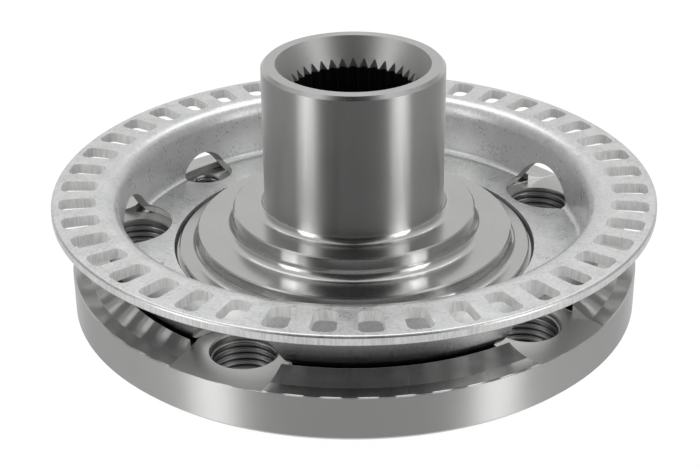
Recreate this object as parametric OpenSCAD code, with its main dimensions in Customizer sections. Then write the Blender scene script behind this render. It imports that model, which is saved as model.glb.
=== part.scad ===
// Driven wheel hub with a pressed sensor ring.
// Z = 0 is the face that the brake disc bolts to, and the bearing neck points up.

/* [Flange] */
// Diameter of the flange
flange_d = 126; // [122:0.5:130]
// Height of the flange rim above the disc face
rim_height = 10; // [9:0.05:10.2]
// Rise of the turned back face from the seat plane to the recess round the ring
back_rise = 1.65; // [1:0.05:2]
// Distance from the axis where the sweep of the back face would be lowest
back_foot_r = 61; // [60:0.1:62]
// Chamfer of the rim on the wheel side
rim_chamfer = 1; // [0.5:0.1:2]
// Width of the broken edge on top of the rim
rim_edge_width = 0.4; // [0.2:0.1:1.2]
// Height of the broken edge on top of the rim
rim_edge_height = 0.15; // [0.1:0.05:0.5]

/* [Wheel bolts] */
// Number of wheel bolts
bolt_count = 5; // [4:1:5]
// Diameter of the bolt circle
bolt_circle_d = 100; // [98:1:102]
// Nominal diameter of the bolt thread
bolt_d = 14; // [10:1:14]
// Width of the bevel at the mouth of each bolt hole
bolt_bevel = 0.3; // [0.1:0.05:0.5]
// Width of the milled spot face at each bolt hole
spot_w = 21; // [18:0.5:22]
// Depth of the spot faces below the ring seat
spot_depth = 0.1; // [0.05:0.05:0.3]

/* [Disc screw] */
// Nominal diameter of the screw that holds the brake disc
screw_d = 6; // [5:1:8]
// Distance of the screw from the hub axis
screw_r = 50.5; // [49:0.5:52]
// Angle between the screw and the first wheel bolt
screw_angle = 180; // [176:1:184]

/* [Bearing neck] */
// Diameter of the seat for the wheel bearing
neck_d = 40; // [38:0.5:42]
// Height of the neck above the disc face
neck_height = 54.7; // [50:0.1:60]
// Chamfer at the top of the neck
neck_chamfer = 0.75; // [0.3:0.05:1]
// Fillet at the foot of the neck
neck_fillet = 2; // [1:0.1:2.5]

/* [Shoulders] */
// Diameter of the bearing shoulder
shoulder_d = 54; // [50:0.5:58]
// Height of the bearing shoulder above the disc face
shoulder_height = 21.25; // [19:0.25:23]
// Fillet at the foot of the bearing shoulder
shoulder_fillet = 2.2; // [1:0.1:2.5]
// Diameter of the seal step
step_d = 70.4; // [68:0.2:72]
// Height of the seal step above the disc face
step_height = 16.4; // [15:0.1:18]
// Fillet at the foot of the seal step
step_fillet = 1.5; // [0.5:0.1:1.8]
// Diameter of the low land inside the sensor ring
land_d = 78.8; // [77:0.2:79]
// Height of the low land above the disc face
land_height = 12.6; // [12:0.1:13]
// Bevel on the edge of each shoulder
edge_bevel = 0.3; // [0.2:0.05:0.5]

/* [Splined bore] */
// Number of teeth
spline_teeth = 36; // [30:1:40]
// Diameter over the roots of the teeth
spline_root_d = 28.6; // [27:0.1:29]
// Diameter inside the tips of the teeth
spline_tip_d = 26.6; // [25:0.1:26.8]
// Width of the flat on each tooth tip, and of the flat at each root
tooth_flat = 0.3; // [0.2:0.05:0.5]
// Angle of a tooth space from the first wheel bolt
spline_phase = 4.4; // [0:0.2:9.8]
// Diameter of the conical mouth at the top of the neck
mouth_d = 33.8; // [32:0.2:35]
// Included angle of the conical mouth
mouth_angle = 60; // [50:1:80]

/* [Wheel side] */
// Diameter of the pilot for the brake disc
pilot_d = 64.9; // [64:0.1:66]
// Height of the pilot for the brake disc
pilot_height = 5; // [4:0.5:6]
// Diameter of the spigot for the wheel
spigot_d = 57; // [56:0.1:58]
// Distance from the disc face to the end of the spigot
spigot_reach = 12; // [10:0.5:14]
// Diameter of the recess for the axle bolt
recess_d = 42; // [38:1:46]
// Height of the axle bolt seat above the disc face
seat_height = 7; // [5:0.5:8]
// Lead chamfer on the pilot and the spigot
lead_chamfer = 1; // [0.5:0.1:1.5]

/* [Sensor ring] */
// Thickness of the ring's sheet steel
sheet = 2.3; // [2:0.1:2.5]
// Diameter of the hole that is pressed over the hub collar
ring_hole_d = 81; // [80:0.2:82]
// Diameter inside the upright wall
wall_d = 103.8; // [103:0.2:104]
// Width of the flat rim outside its bend
rim_width = 11.2; // [10:0.1:12]
// Height of the top of the rim above the disc face
ring_top = 26; // [24:0.5:28]
// Radius inside the bend between floor and wall
floor_bend = 1.5; // [1:0.1:2]
// Radius over the bend between wall and rim
lip_bend = 3.5; // [3:0.1:4]
// Radius on the outer edges of the rim
rim_round = 0.6; // [0.3:0.1:1]

/* [Ring windows] */
// Number of windows
window_count = 43; // [40:1:44]
// Width of sheet between the bend and the windows
window_inner_edge = 1.5; // [1:0.1:2]
// Width of sheet between the windows and the edge of the rim
window_outer_edge = 1.7; // [1:0.1:2.5]
// Angle that each window takes
window_angle = 4.75; // [4:0.05:5.5]
// Radius of the corners of each window
window_corner = 1.5; // [0.8:0.1:1.8]
// Angle of the first window from the first wheel bolt
window_phase = -0.8; // [-4:0.1:4]

/* [Ring clearances] */
// Width of the clearance hole in the ring floor at each wheel bolt
bolt_clearance_d = 20.8; // [19:0.2:21]
// Distance of each clearance hole outside its wheel bolt
bolt_clearance_shift = 2.9; // [2:0.1:4]
// Height of each clearance hole in the ring wall, above the ring floor
bolt_clearance_rise = 6.3; // [5:0.1:8]
// Width of the clearance hole in the ring floor at the disc screw
screw_clearance_d = 13; // [11:0.2:14]
// Distance of the screw clearance hole outside the disc screw
screw_clearance_shift = 0.5; // [0:0.1:1]
// Height of the screw clearance hole in the ring wall, above the ring floor
screw_clearance_rise = 4.7; // [3:0.1:5]

/* [Hidden] */
$fn = 60;

flange_r = flange_d / 2;
neck_r = neck_d / 2;
shoulder_r = shoulder_d / 2;
step_r = step_d / 2;
land_r = land_d / 2;
pilot_r = pilot_d / 2;
spigot_r = spigot_d / 2;
recess_r = recess_d / 2;
collar_r = ring_hole_d / 2;
wall_r = wall_d / 2;
rim_start_r = wall_r + lip_bend;
ring_r = rim_start_r + rim_width;
root_r = spline_root_d / 2;
tip_r = spline_tip_d / 2;
bolt_circle_r = bolt_circle_d / 2;

// The ring floor lies on this plane, and the spot faces are milled to it.
seat_z = rim_height + rim_edge_height;
// Height of the collar that the ring is pressed over.
collar_h = 1;
// Gap round the ring wall in the recess of the back face.
recess_gap = 0.6;
recess_wall_r = wall_r + sheet + recess_gap;
// Concave sweep in which the back face rises. It dips so that it leaves the plane at an angle.
back_dip = 0.1;
back_run = back_foot_r - recess_wall_r;
back_lift = back_rise + back_dip;
back_sweep = (back_run * back_run + back_lift * back_lift) / (2 * back_lift);
// Depth and width of the relief round the pilot.
relief = [1.5, 0.8];
// Radial size of the bevel where the bore meets the axle bolt seat.
bore_bevel = 0.8;
mouth_depth = (mouth_d / 2 - tip_r) / tan(mouth_angle / 2);

floor_top = seat_z + sheet;
wall_foot = floor_top + floor_bend;
wall_head = ring_top - lip_bend;
// Shallow line that the press tool leaves at the edge of the ring floor.
tool_line = [0.3, 0.15];
// Two small punch marks on the ring floor: angle of each, distance out, radius.
punch_angles = [30.6, -119.8];
punch_r = 44;
punch_mark = 0.7;
// Extra length of a cutter beyond the face that it cuts.
over = 1;
// Facets of the small round shapes.
bend_fn = 24;

// Fills an inside corner of a profile with a concave fillet.
module fillet(at, radius) {
    translate(at) difference() {
        square(radius);
        translate([radius, radius]) circle(radius, $fn = bend_fn);
    }
}

// A quarter of a flat ring: its quadrant is given by the signs of x and y.
module quarter(at, inner, outer, quadrant) {
    translate(at) intersection() {
        difference() {
            circle(outer, $fn = bend_fn);
            circle(inner, $fn = bend_fn);
        }
        translate([min(0, quadrant[0] * outer), min(0, quadrant[1] * outer)]) square(outer);
    }
}

// Half section of the turned hub, from the bore outwards.
module hub_section() {
    polygon([
        [tip_r + bore_bevel, seat_height],
        [recess_r, seat_height],
        [recess_r, -spigot_reach + lead_chamfer / 2],
        [recess_r + lead_chamfer / 2, -spigot_reach],
        [spigot_r - lead_chamfer, -spigot_reach],
        [spigot_r, -spigot_reach + lead_chamfer],
        [spigot_r, -pilot_height],
        [pilot_r - lead_chamfer, -pilot_height],
        [pilot_r, -pilot_height + lead_chamfer],
        [pilot_r, relief[1]],
        [pilot_r + relief[0], relief[1]],
        [pilot_r + relief[0] + relief[1], 0],
        [flange_r - rim_chamfer, 0],
        [flange_r, rim_chamfer],
        [flange_r, rim_height],
        [flange_r - rim_edge_width, seat_z],
        [collar_r, seat_z],
        [collar_r, seat_z + collar_h],
        [land_r, seat_z + collar_h],
        [land_r, land_height - edge_bevel],
        [land_r - edge_bevel, land_height],
        [step_r, land_height],
        [step_r, step_height - edge_bevel],
        [step_r - edge_bevel, step_height],
        [shoulder_r, step_height],
        [shoulder_r, shoulder_height - edge_bevel],
        [shoulder_r - edge_bevel, shoulder_height],
        [neck_r, shoulder_height],
        [neck_r, neck_height - neck_chamfer],
        [neck_r - neck_chamfer, neck_height],
        [mouth_d / 2, neck_height],
        [tip_r, neck_height - mouth_depth],
        [tip_r, seat_height + bore_bevel]
    ]);
    difference() {
        translate([recess_wall_r, seat_z]) square([back_run, back_rise]);
        translate([back_foot_r, seat_z - back_dip + back_sweep]) {
            circle(back_sweep);
            translate([-back_sweep, 0]) square([2 * back_sweep, back_rise]);
        }
    }
    fillet([neck_r, shoulder_height], neck_fillet);
    fillet([shoulder_r, step_height], shoulder_fillet);
    fillet([step_r, land_height], step_fillet);
}

// Outline of the bore through the teeth: each tooth has a flat tip and a flat root.
module spline_outline() {
    pitch = 360 / spline_teeth;
    root_half = tooth_flat / 2 / root_r * 180 / PI;
    tip_half = tooth_flat / 2 / tip_r * 180 / PI;
    polygon([
        for (i = [0 : spline_teeth - 1])
            for (p = [[root_r, -root_half], [root_r, root_half],
                      [tip_r, pitch / 2 - tip_half], [tip_r, pitch / 2 + tip_half]])
                let (a = spline_phase + i * pitch + p[1]) p[0] * [cos(a), sin(a)]
    ]);
}

// Clears the tooth spaces over the whole length of the bore.
module spline_cutter() {
    translate([0, 0, seat_height - over])
        linear_extrude(neck_height - seat_height + 2 * over) spline_outline();
}

// Threaded through hole at its major diameter, bevelled at both ends.
module tapped_hole(d, bevel, top) {
    wide = d + 2 * (bevel + over);
    translate([0, 0, -over]) cylinder(d = d, h = top + 2 * over);
    translate([0, 0, -over]) cylinder(d1 = wide, d2 = d, h = over + bevel);
    translate([0, 0, top - bevel]) cylinder(d1 = d, d2 = wide, h = over + bevel);
}

// Spot faces milled round the bolt holes and out over the rim, clear of the collar.
module spot_faces() {
    translate([0, 0, seat_z - spot_depth]) linear_extrude(back_rise + over) difference() {
        for (i = [0 : bolt_count - 1])
            rotate(i * 360 / bolt_count) translate([bolt_circle_r, 0]) {
                circle(d = spot_w);
                translate([0, -spot_w / 2]) square([flange_r, spot_w]);
            }
        circle(collar_r + over);
    }
}

module hub() {
    color([0.56, 0.56, 0.58]) difference() {
        rotate_extrude() hub_section();
        spline_cutter();
        for (i = [0 : bolt_count - 1])
            rotate(i * 360 / bolt_count) translate([bolt_circle_r, 0, 0])
                tapped_hole(bolt_d, bolt_bevel, seat_z - spot_depth);
        spot_faces();
        rotate(screw_angle) translate([screw_r, 0, 0]) tapped_hole(screw_d, bolt_bevel, seat_z);
    }
}

// Half section of the pressed ring: floor, bend, wall, lip and rim.
module ring_section() {
    floor_end = wall_r - floor_bend;
    round_r = ring_r - rim_round;
    translate([collar_r, seat_z]) square([floor_end - collar_r, sheet]);
    quarter([floor_end, wall_foot], floor_bend, floor_bend + sheet, [1, -1]);
    translate([wall_r, wall_foot]) square([sheet, wall_head - wall_foot]);
    quarter([rim_start_r, wall_head], lip_bend - sheet, lip_bend, [-1, 1]);
    translate([rim_start_r, ring_top - sheet]) square([round_r - rim_start_r, sheet]);
    translate([round_r, ring_top - sheet + rim_round]) square([rim_round, sheet - 2 * rim_round]);
    for (z = [ring_top - sheet + rim_round, ring_top - rim_round])
        translate([round_r, z]) circle(rim_round, $fn = bend_fn);
}

// Outline of one window on the X axis: its sides are radial and its corners round.
module window_outline() {
    half = window_angle / 2;
    inner_r = rim_start_r + window_inner_edge;
    outer_r = ring_r - window_outer_edge;
    ends = [inner_r + window_corner, outer_r - window_corner];
    centres = [for (x = ends) [x, x * tan(half) - window_corner / cos(half)]];
    touch = window_corner * [-sin(half), cos(half)];
    upper = [
        [inner_r, centres[0][1]],
        centres[0] + touch,
        centres[1] + touch,
        [outer_r, centres[1][1]]
    ];
    polygon(concat(upper, [for (i = [3 : -1 : 0]) [upper[i][0], -upper[i][1]]]));
    for (c = centres, side = [-1, 1]) translate([c[0], side * c[1]]) circle(window_corner, $fn = 16);
}

// Ball whose cut through the bend has the given width in the floor and rise in the wall.
module corner_ball(r, width, rise) {
    back = wall_r - r;
    drop = (width * width / 4 - back * back - rise * rise) / (2 * rise);
    translate([r, 0, floor_top - drop])
        sphere(sqrt(width * width / 4 + drop * drop));
}

module sensor_ring() {
    color([0.76, 0.78, 0.79]) difference() {
        rotate_extrude() ring_section();
        for (i = [0 : window_count - 1])
            rotate(window_phase + i * 360 / window_count)
                translate([0, 0, ring_top - sheet - over])
                    linear_extrude(sheet + 2 * over) window_outline();
        for (i = [0 : bolt_count - 1])
            rotate(i * 360 / bolt_count)
                corner_ball(bolt_circle_r + bolt_clearance_shift,
                    bolt_clearance_d, bolt_clearance_rise);
        rotate(screw_angle)
            corner_ball(screw_r + screw_clearance_shift,
                screw_clearance_d, screw_clearance_rise);
        rotate_extrude() translate([wall_r - floor_bend - tool_line[0], floor_top - tool_line[1]])
            square([tool_line[0], over]);
        for (a = punch_angles)
            rotate(a) translate([punch_r, 0, floor_top + punch_mark / 2])
                sphere(punch_mark, $fn = 16);
    }
}

hub();
sensor_ring();
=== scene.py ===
import math

import bpy
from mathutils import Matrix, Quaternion, Vector


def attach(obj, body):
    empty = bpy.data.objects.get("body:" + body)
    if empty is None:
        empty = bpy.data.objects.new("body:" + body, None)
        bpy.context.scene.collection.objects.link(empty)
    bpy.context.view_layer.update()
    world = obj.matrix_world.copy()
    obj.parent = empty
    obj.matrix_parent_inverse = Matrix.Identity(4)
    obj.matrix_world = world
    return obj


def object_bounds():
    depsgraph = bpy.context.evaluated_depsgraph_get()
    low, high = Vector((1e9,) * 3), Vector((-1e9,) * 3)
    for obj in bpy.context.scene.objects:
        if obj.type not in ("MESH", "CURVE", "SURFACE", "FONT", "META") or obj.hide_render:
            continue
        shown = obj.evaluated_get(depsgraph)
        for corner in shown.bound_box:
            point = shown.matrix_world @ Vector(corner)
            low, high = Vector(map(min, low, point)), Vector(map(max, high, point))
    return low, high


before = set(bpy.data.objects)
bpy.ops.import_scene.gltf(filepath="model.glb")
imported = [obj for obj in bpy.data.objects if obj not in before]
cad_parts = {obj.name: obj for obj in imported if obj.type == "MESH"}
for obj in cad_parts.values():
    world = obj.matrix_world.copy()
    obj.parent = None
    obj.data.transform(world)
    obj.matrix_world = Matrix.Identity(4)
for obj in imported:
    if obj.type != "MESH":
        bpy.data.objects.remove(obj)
cad_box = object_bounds()

scene = bpy.context.scene
scene.view_settings.view_transform = "Standard"


# Camera. It stands where the photograph was taken: low over the ring, and turned so that
# the front of the flange lies between two wheel-bolt holes. Angles are in radians.
TARGET = Vector((0, 0, 0.021))
DISTANCE = 0.36334
AZIMUTH = math.radians(-45.62)
ELEVATION = 0.4560
ROLL = 0.00526
SENSOR_MM = 36
PHOTO_PX = (700, 466)
AXIS_PX = (354.0, 203.28)
FOCAL_PX = 1622.96


def towards(turn, rise):
    """The direction at a turn about the upright axis and a rise above the floor."""
    return Vector((
        math.cos(turn) * math.cos(rise),
        math.sin(turn) * math.cos(rise),
        math.sin(rise),
    ))


away = towards(AZIMUTH, ELEVATION)
camera_data = bpy.data.cameras.new("camera")
camera_data.sensor_width = SENSOR_MM
camera_data.lens = SENSOR_MM * FOCAL_PX / PHOTO_PX[0]
camera_data.shift_x = (PHOTO_PX[0] / 2 - AXIS_PX[0]) / PHOTO_PX[0]
camera_data.shift_y = (AXIS_PX[1] - PHOTO_PX[1] / 2) / PHOTO_PX[0]
camera_data.clip_start = 0.01
camera_data.clip_end = 10
camera = bpy.data.objects.new("camera", camera_data)
scene.collection.objects.link(camera)
camera.rotation_mode = "QUATERNION"
camera.location = TARGET + away * DISTANCE
camera.rotation_quaternion = (-away).to_track_quat("-Z", "Y") @ Quaternion((0, 0, 1), -ROLL)
scene.camera = camera


# World. A white studio. Bare metal has only its surroundings to show, so the backdrop is
# pale, the room behind the camera is dark, a tall lit screen stands on either side, and
# the table in front is grey.
WHITE = (1, 1, 1, 1)
CEILING_Z = (0.42, 0.78)
TABLE_Z = (-0.12, -0.32)


class Value:
    """A shader socket that takes part in Python sums."""

    def __init__(self, tree, socket):
        self.tree = tree
        self.socket = socket

    def math(self, operation, *others):
        return node(self.tree, "ShaderNodeMath", {"operation": operation}, [self, *others])

    def __add__(self, other):
        return self.math("ADD", other)

    def __sub__(self, other):
        return self.math("SUBTRACT", other)

    def __rsub__(self, other):
        return node(self.tree, "ShaderNodeMath", {"operation": "SUBTRACT"}, [other, self])

    def __mul__(self, other):
        return self.math("MULTIPLY", other)

    def __truediv__(self, other):
        return self.math("DIVIDE", other)

    def __gt__(self, other):
        return self.math("GREATER_THAN", other)

    def __lt__(self, other):
        return self.math("LESS_THAN", other)

    __radd__ = __add__
    __rmul__ = __mul__

    def within(self, low, high):
        return (self > low) * (self < high)

    def clamp(self):
        return node(self.tree, "ShaderNodeClamp", {}, [self])

    def parts(self):
        """The X, Y and Z of a vector."""
        apart = node(self.tree, "ShaderNodeSeparateXYZ", {}, [self])
        return [Value(self.tree, socket) for socket in apart.socket.node.outputs]


def node(tree, kind, settings, sockets, output=0):
    """Adds a node, gives it its settings, then fills its sockets by number or by name."""
    n = tree.nodes.new(kind)
    for key, setting in settings.items():
        if key == "stops":
            elements = n.color_ramp.elements
            while len(elements) < len(setting):
                elements.new(1)
            for element, (at, colour) in zip(elements, setting):
                element.position = at
                element.color = colour if isinstance(colour, tuple) else (colour,) * 3 + (1,)
        else:
            setattr(n, key, setting)
    pairs = sockets.items() if isinstance(sockets, dict) else enumerate(sockets)
    for key, given in pairs:
        if isinstance(given, Value):
            tree.links.new(given.socket, n.inputs[key])
        else:
            n.inputs[key].default_value = given
    return Value(tree, n.outputs[output]) if n.outputs else None


def ramp(value, *stops):
    """The grey or colour that a row of stops gives for a value."""
    return node(value.tree, "ShaderNodeValToRGB", {"stops": stops}, [value])


def blend(share, first, second):
    """The first colour where share is 0, the second where it is 1."""
    return node(share.tree, "ShaderNodeMix", {"data_type": "RGBA"},
                {0: share, 6: first, 7: second}, output=2)


def fade(value, start, end):
    """Rises softly from 0 to 1 as the value goes from start to end."""
    return node(value.tree, "ShaderNodeMapRange", {"interpolation_type": "SMOOTHSTEP"},
                [value, start, end, 0.0, 1.0])


def ray(tree, kind):
    """Whether the ray that asks is of this kind."""
    return node(tree, "ShaderNodeLightPath", {}, [], output=f"Is {kind} Ray")


world = bpy.data.worlds.new("studio")
scene.world = world
world.use_nodes = True
tree = world.node_tree
tree.nodes.clear()
x, y, z = node(tree, "ShaderNodeTexCoord", {}, [], output="Generated").parts()
flat = (x * x + y * y + 0.0001).math("SQRT")
ahead = (x * math.cos(AZIMUTH) + y * math.sin(AZIMUTH)) / flat

# Each row of stops goes round from the backdrop, at 0, to the room behind the camera, at 1.
round_about = ahead * 0.5 + 0.5
level = ramp(
    round_about, (0.0, 0.72), (0.11, 0.74), (0.18, 0.46), (0.27, 0.36), (0.55, 0.34),
    (0.70, 0.42), (0.745, 1.35), (0.78, 2.0), (0.825, 1.8), (0.865, 0.5), (0.90, 0.12),
    (0.95, 0.03), (1.0, 0.02))
above = ramp(
    round_about, (0.0, 0.85), (0.5, 0.60), (0.74, 0.85), (0.84, 0.30), (0.93, 0.08),
    (1.0, 0.05))
below = ramp(
    round_about, (0.0, 0.75), (0.15, 0.46), (0.45, 0.52), (0.64, 0.58), (0.69, 1.10),
    (0.75, 1.55), (0.80, 1.35), (0.86, 0.52), (0.91, 0.36), (1.0, 0.34))
room = blend(fade(z, *CEILING_Z), level, above)
room = blend(fade(z, *TABLE_Z), room, below)

# The room is only there to be mirrored. The camera sees white, and the light is even.
diffuse = node(tree, "ShaderNodeBackground", {}, [WHITE, 0.55])
mirrored = node(tree, "ShaderNodeBackground", {}, [room, 1.0])
white = node(tree, "ShaderNodeBackground", {}, [WHITE, 1.0])
mirror_ray = (ray(tree, "Glossy") + ray(tree, "Transmission")).clamp()
surround = node(tree, "ShaderNodeMixShader", {}, [mirror_ray, diffuse, mirrored])
surround = node(tree, "ShaderNodeMixShader", {}, [ray(tree, "Camera"), surround, white])
node(tree, "ShaderNodeOutputWorld", {}, {"Surface": surround})


# Lamps. Two tall soft boxes stand to the left and right in front of the hub, and a wide
# one hangs high behind it.
def soft_box(name, turn, rise, reach, size, watts):
    """An area lamp that faces the hub: turn is in degrees from the camera, to its right."""
    back = towards(AZIMUTH + math.radians(turn), math.radians(rise))
    lamp = bpy.data.lights.new(name, "AREA")
    lamp.shape = "RECTANGLE"
    lamp.size, lamp.size_y = size
    lamp.energy = watts
    box = bpy.data.objects.new(name, lamp)
    scene.collection.objects.link(box)
    box.location = TARGET + back * reach
    box.rotation_mode = "QUATERNION"
    box.rotation_quaternion = back.to_track_quat("Z", "Y")


soft_box("left_box", turn=-64, rise=20, reach=1.2, size=(0.30, 0.9), watts=1.7)
soft_box("right_box", turn=64, rise=20, reach=1.2, size=(0.30, 0.9), watts=1.7)
soft_box("top_box", turn=180, rise=62, reach=1.4, size=(1.2, 0.9), watts=3.5)


# Floor. A plain white paper sweep under the hub that keeps only its soft shadow. It glows
# so that the camera sees it as white as the backdrop.
FLOOR_SIZE = 6
FLOOR_GAP = 0.0002
PAPER = (0.8, 0.8, 0.8, 1)
PAPER_GLOW = 1.08


def new_material(name):
    """A material whose tree is still empty, and the tree."""
    material = bpy.data.materials.new(name)
    material.use_nodes = True
    material.node_tree.nodes.clear()
    return material, material.node_tree


bpy.ops.object.select_all(action="DESELECT")
bpy.ops.mesh.primitive_plane_add(size=FLOOR_SIZE, location=(0, 0, cad_box[0].z - FLOOR_GAP))
floor = bpy.context.object
floor.name = "floor"
paper, tree = new_material("floor_paper")
direct = (ray(tree, "Camera") + ray(tree, "Glossy")).clamp()
matt = node(tree, "ShaderNodeBsdfDiffuse", {}, [PAPER])
glow = node(tree, "ShaderNodeEmission", {}, [WHITE, PAPER_GLOW])
sheet = node(tree, "ShaderNodeMixShader", {}, [direct * 0.9, matt, glow])
node(tree, "ShaderNodeOutputMaterial", {}, {"Surface": sheet})
floor.data.materials.append(paper)
floor.visible_glossy = False


# Hub. One steel forging, turned all over, with a ground bearing neck, broached teeth in
# its bore and milled spot faces round the wheel-bolt holes. Shade in its hollows is painted into
# its colour.
NECK_R = 0.020
SHOULDER_Z = 0.02125
MOUTH_R = 0.0169
MOUTH_Z = 0.0483
TOOTH_ROOT_R = 0.0146
BORE_Z = 0.0075
GROOVE_R = (0.0399, 0.0406)
GROOVE_Z = (0.0105, 0.0124)
STANDING_R = (0.0547, 0.05482)
RIM_R = 0.0625
SPOT_Z = 0.01005
BOLT_CIRCLE_R = 0.050
BOLT_TURN = math.radians(72)
BOLT_R = 0.0070
HOLE_BEVEL = 0.0003
ON_PLANE = 0.00003
PAST_FACE = 0.0002
UPRIGHT = 0.3
TOOL_MARKS = 5200
# The near black that is painted into the hub's hollows as shade.
HOLLOW_SHADE_COLOUR = (0.015, 0.015, 0.015, 1)


def length(a, b):
    """How long the slant is over two sides that stand square to each other."""
    return (a * a + b * b).math("SQRT")


def noise(place, scale, detail):
    """Soft blobs spread evenly over a place."""
    return node(place.tree, "ShaderNodeTexNoise", {},
                {"Vector": place, "Scale": scale, "Detail": detail})


steel, tree = new_material("turned_steel")
spot = node(tree, "ShaderNodeTexCoord", {}, [], output="Object")
x, y, z = spot.parts()
radius = length(x, y)
upward = node(tree, "ShaderNodeNewGeometry", {}, [], output="Normal").parts()[2].math("ABSOLUTE")

# Where each finish lies: the turn is folded so that every bolt hole lies on the X axis.
turn = y.math("ARCTAN2", x).math("WRAP", BOLT_TURN / 2, -BOLT_TURN / 2)
from_bolt = length(radius * turn.math("COSINE") - BOLT_CIRCLE_R, radius * turn.math("SINE"))
milled = (z - SPOT_Z).math("ABSOLUTE") < ON_PLANE
in_hole = (from_bolt < BOLT_R + HOLE_BEVEL) * (z < SPOT_Z + ON_PLANE)
cone = (radius < MOUTH_R) * (z > MOUTH_Z)
teeth = (radius < TOOTH_ROOT_R) * z.within(BORE_Z, MOUTH_Z)
neck = (radius < NECK_R + PAST_FACE) * (z > SHOULDER_Z) * (1 - cone)
wall = neck * (upward < UPRIGHT)
rim = (radius > RIM_R) * (upward < 0.5)
standing = radius.within(*STANDING_R) * (z > SPOT_Z + PAST_FACE)
groove = radius.within(*GROOVE_R) * z.within(*GROOVE_Z)

# Tool marks run round the hub's axis, and on a milled face round the bolt hole.
turned = radius * upward + z * (1 - upward)
tool_run = turned * (1 - milled) + from_bolt * milled
grooves = noise(node(tree, "ShaderNodeCombineXYZ", {}, [tool_run * TOOL_MARKS, 0.0, 0.0]), 1, 2)
clouds = noise(spot, 90, 4)
specks = noise(spot, 1400, 2)
tone = ramp(
    clouds * 0.5 + grooves * 0.25 + specks * 0.25,
    (0.3, (0.545, 0.545, 0.54, 1)), (0.7, (0.615, 0.613, 0.605, 1)))
# Painted shade: the teeth in the bore, the bolt holes, the groove at the ring's bore, the mouth
# cone and a little of the neck's wall are painted towards near black.
painted_hollow_shade = (teeth * 0.72 + in_hole * 0.35 + groove * 0.95 + cone * 0.20 + wall * 0.16).clamp()
shade = blend(painted_hollow_shade, tone, HOLLOW_SHADE_COLOUR)
metal = 1 - rim * 0.22 - milled * 0.25 - standing * 0.6
height = grooves * (0.25 + milled * 0.6 + (1 - neck) * 0.25) + specks * 0.12
bump = node(tree, "ShaderNodeBump", {}, {"Strength": 0.22, "Distance": 0.00002, "Height": height})

# Fine grooves that run round the axis spread what is mirrored along it, so a turned or ground
# face shows upright bands. The cone, the teeth, the holes and the milled faces are plain, and
# so are the groove at the ring's bore and the flange's low standing wall beside the ring.
ground = node(tree, "ShaderNodeBsdfPrincipled", {}, {
    "Base Color": shade, "Metallic": metal, "Normal": bump,
    "Roughness": 0.09 + grooves * 0.04 + clouds * 0.06 + wall * 0.17 + rim * 0.06,
    "Anisotropic": 1.0, "Anisotropic Rotation": 0.25})
plain = node(tree, "ShaderNodeBsdfPrincipled", {}, {
    "Base Color": shade, "Metallic": metal, "Normal": bump,
    "Roughness": 0.30 + clouds * 0.06 + grooves * 0.05 + cone * 0.12 + standing * 0.25})
is_plain = (milled + in_hole + cone + teeth + groove + standing).clamp()
finish = node(tree, "ShaderNodeMixShader", {}, [is_plain, ground, plain])
node(tree, "ShaderNodeOutputMaterial", {}, {"Surface": finish})
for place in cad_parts["hub"].material_slots:
    place.material = steel


# Threads. Each wheel-bolt hole and the small disc-screw hole is tapped right through. The
# turns are cut in the hub itself, and stand in from the wall that the hole has in the frame.
BOLT_PITCH = 0.0015
SCREW_X = -0.0505
SCREW_R = 0.0030
SCREW_PITCH = 0.0010
RIDGE_SHARE = 0.45
BEHIND_WALL = 0.00004
STEPS_A_TURN = 36

THREADS = [
    ("wheel_bolt_thread", 5, BOLT_CIRCLE_R, BOLT_R, BOLT_PITCH),
    ("disc_screw_thread", 1, SCREW_X, SCREW_R, SCREW_PITCH),
]

for name, count, out, wall_r, pitch in THREADS:
    # One ridge: a diamond on the hole's wall, its outer corner drawn in to sit just behind it.
    half = pitch * RIDGE_SHARE
    bpy.ops.object.select_all(action="DESELECT")
    bpy.ops.mesh.primitive_circle_add(vertices=4, radius=half, fill_type="NOTHING",
                                      location=(wall_r, 0, 0), rotation=(math.pi / 2, 0, 0))
    ridge = bpy.context.object
    bpy.ops.object.transform_apply(location=True, rotation=True, scale=True)
    for vertex in ridge.data.vertices:
        vertex.select = vertex.co.x > wall_r + half * 0.5
    for edge in ridge.data.edges:
        edge.select = False
    bpy.ops.object.mode_set(mode="EDIT")
    bpy.ops.mesh.select_mode(type="VERT")
    bpy.ops.transform.translate(value=(BEHIND_WALL - half, 0, 0))
    bpy.ops.object.mode_set(mode="OBJECT")

    # Wound up the hole, clear of the bevels at both ends, and closed at its two ends.
    low_end = HOLE_BEVEL + half
    turns = (SPOT_Z - HOLE_BEVEL - half - low_end) / pitch
    screw = ridge.modifiers.new("screw", "SCREW")
    screw.axis = "Z"
    screw.angle = 2 * math.pi * turns
    screw.screw_offset = pitch * turns
    screw.iterations = 1
    screw.steps = screw.render_steps = round(STEPS_A_TURN * turns)
    bpy.ops.object.modifier_apply(modifier="screw")
    bpy.ops.object.mode_set(mode="EDIT")
    bpy.ops.mesh.select_all(action="DESELECT")
    bpy.ops.mesh.select_non_manifold()
    bpy.ops.mesh.fill_holes(sides=6)
    bpy.ops.mesh.select_all(action="SELECT")
    bpy.ops.mesh.normals_make_consistent(inside=False)
    bpy.ops.transform.translate(value=(out, 0, low_end))
    bpy.ops.object.mode_set(mode="OBJECT")
    ridge.data.materials.append(steel)

    # One in each hole: the copies are turned about the hub's axis.
    for n in range(count):
        thread = ridge
        if n:
            thread = ridge.copy()
            thread.data = ridge.data.copy()
            scene.collection.objects.link(thread)
            bpy.ops.object.select_all(action="DESELECT")
            thread.select_set(True)
            bpy.context.view_layer.objects.active = thread
            thread.rotation_euler.z = BOLT_TURN * n
            bpy.ops.object.transform_apply(location=True, rotation=True, scale=True)
        thread.name = f"{name}_{n + 1}" if count > 1 else name
        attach(thread, "root")


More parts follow.
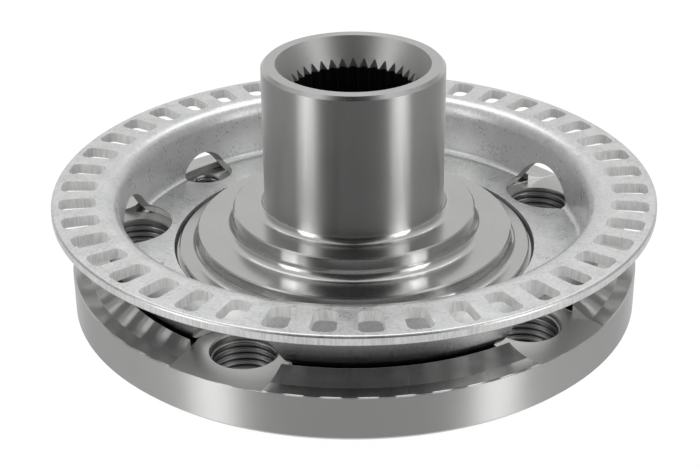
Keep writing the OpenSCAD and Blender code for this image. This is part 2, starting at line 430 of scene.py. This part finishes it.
# Sensor ring. Pressed from steel sheet, pierced with windows for the speed sensor, and
# zinc plated to a pale, slightly grainy satin. The punched edges are lighter and ribbed.
WINDOW_R = (0.0565, 0.0652)
CUT_EDGE_R = 0.0662
INSIDE_R = (0.0502, 0.0535)
OUTSIDE_R = (0.0541, 0.0545)
BEND_R = 0.0504
BEND_Z = 0.01395
BEND_REACH = 0.00375
SHADED_Z = (0.0205, 0.0125)
LEAN = 0.2
FACING_DOWN = -0.4
RIBS_ACROSS = 2600
RIBS_ALONG = 300
DEEP_SHADE = (0.03, 0.03, 0.03, 1)

zinc, tree = new_material("satin_zinc")
spot = node(tree, "ShaderNodeTexCoord", {}, [], output="Object")
x, y, z = spot.parts()
radius = length(x, y)
nx, ny, nz = node(tree, "ShaderNodeNewGeometry", {}, [], output="Normal").parts()

# Pressed faces never lean round the axis, so a face that does is a punched one. The windows'
# end walls and the rim's cut edge don't lean either, and are found by their radius.
leaning = ((x * ny - y * nx) / radius).math("ABSOLUTE") > LEAN
piercing = radius.within(*WINDOW_R)
blanking = radius > CUT_EDGE_R
punched = (leaning + (piercing + blanking) * (nz.math("ABSOLUTE") < UPRIGHT)).clamp()
grain = noise(spot, 1300, 3)
broad = noise(spot, 260, 5)
ribs = noise(node(tree, "ShaderNodeCombineXYZ", {}, [
    x * RIBS_ACROSS, y * RIBS_ACROSS, z * RIBS_ALONG]), 1, 1)
tone = ramp(
    broad * 0.4 + grain * 0.6,
    (0.35, (0.65, 0.66, 0.655, 1)), (0.65, (0.80, 0.81, 0.80, 1)))
edge_tone = ramp(
    ribs * 0.6 + broad * 0.4,
    (0.3, (0.68, 0.69, 0.675, 1)), (0.6, (0.93, 0.935, 0.92, 1)))
shade = blend(punched, tone, edge_tone)

# Painted shade: the underside is painted dark, and the outside of the wall and of its bend is
# painted darker downwards, towards the flange.
across = radius - BEND_R
drop = z - BEND_Z
bend = (length(across, drop) > BEND_REACH) * (across > 0) * (drop < 0)
outside = (bend + (radius > OUTSIDE_R[0])).clamp() * (radius < OUTSIDE_R[1])
depth = node(tree, "ShaderNodeMapRange", {}, [z, *SHADED_Z, 0.0, 0.85])
painted_under_shade = (outside * depth + (nz < FACING_DOWN) * 0.55).clamp()
shade = blend(painted_under_shade, shade, DEEP_SHADE)

# The inside of the upright wall is the dullest of the plated faces.
inside = radius.within(*INSIDE_R) * (nz.math("ABSOLUTE") < 0.6)
metal = 0.86 - (punched + inside * 0.85).clamp() * 0.64
rough = broad * 0.16 + grain * 0.12 + 0.16 + punched * 0.24
height = (grain + broad * 0.5) * (1 - punched) + ribs * punched
bump = node(tree, "ShaderNodeBump", {}, {"Strength": 0.32, "Distance": 0.00010, "Height": height})
finish = node(tree, "ShaderNodeBsdfPrincipled", {}, {
    "Base Color": shade, "Metallic": metal, "Roughness": rough, "Normal": bump})
node(tree, "ShaderNodeOutputMaterial", {}, {"Surface": finish})
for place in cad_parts["sensor_ring"].material_slots:
    place.material = zinc
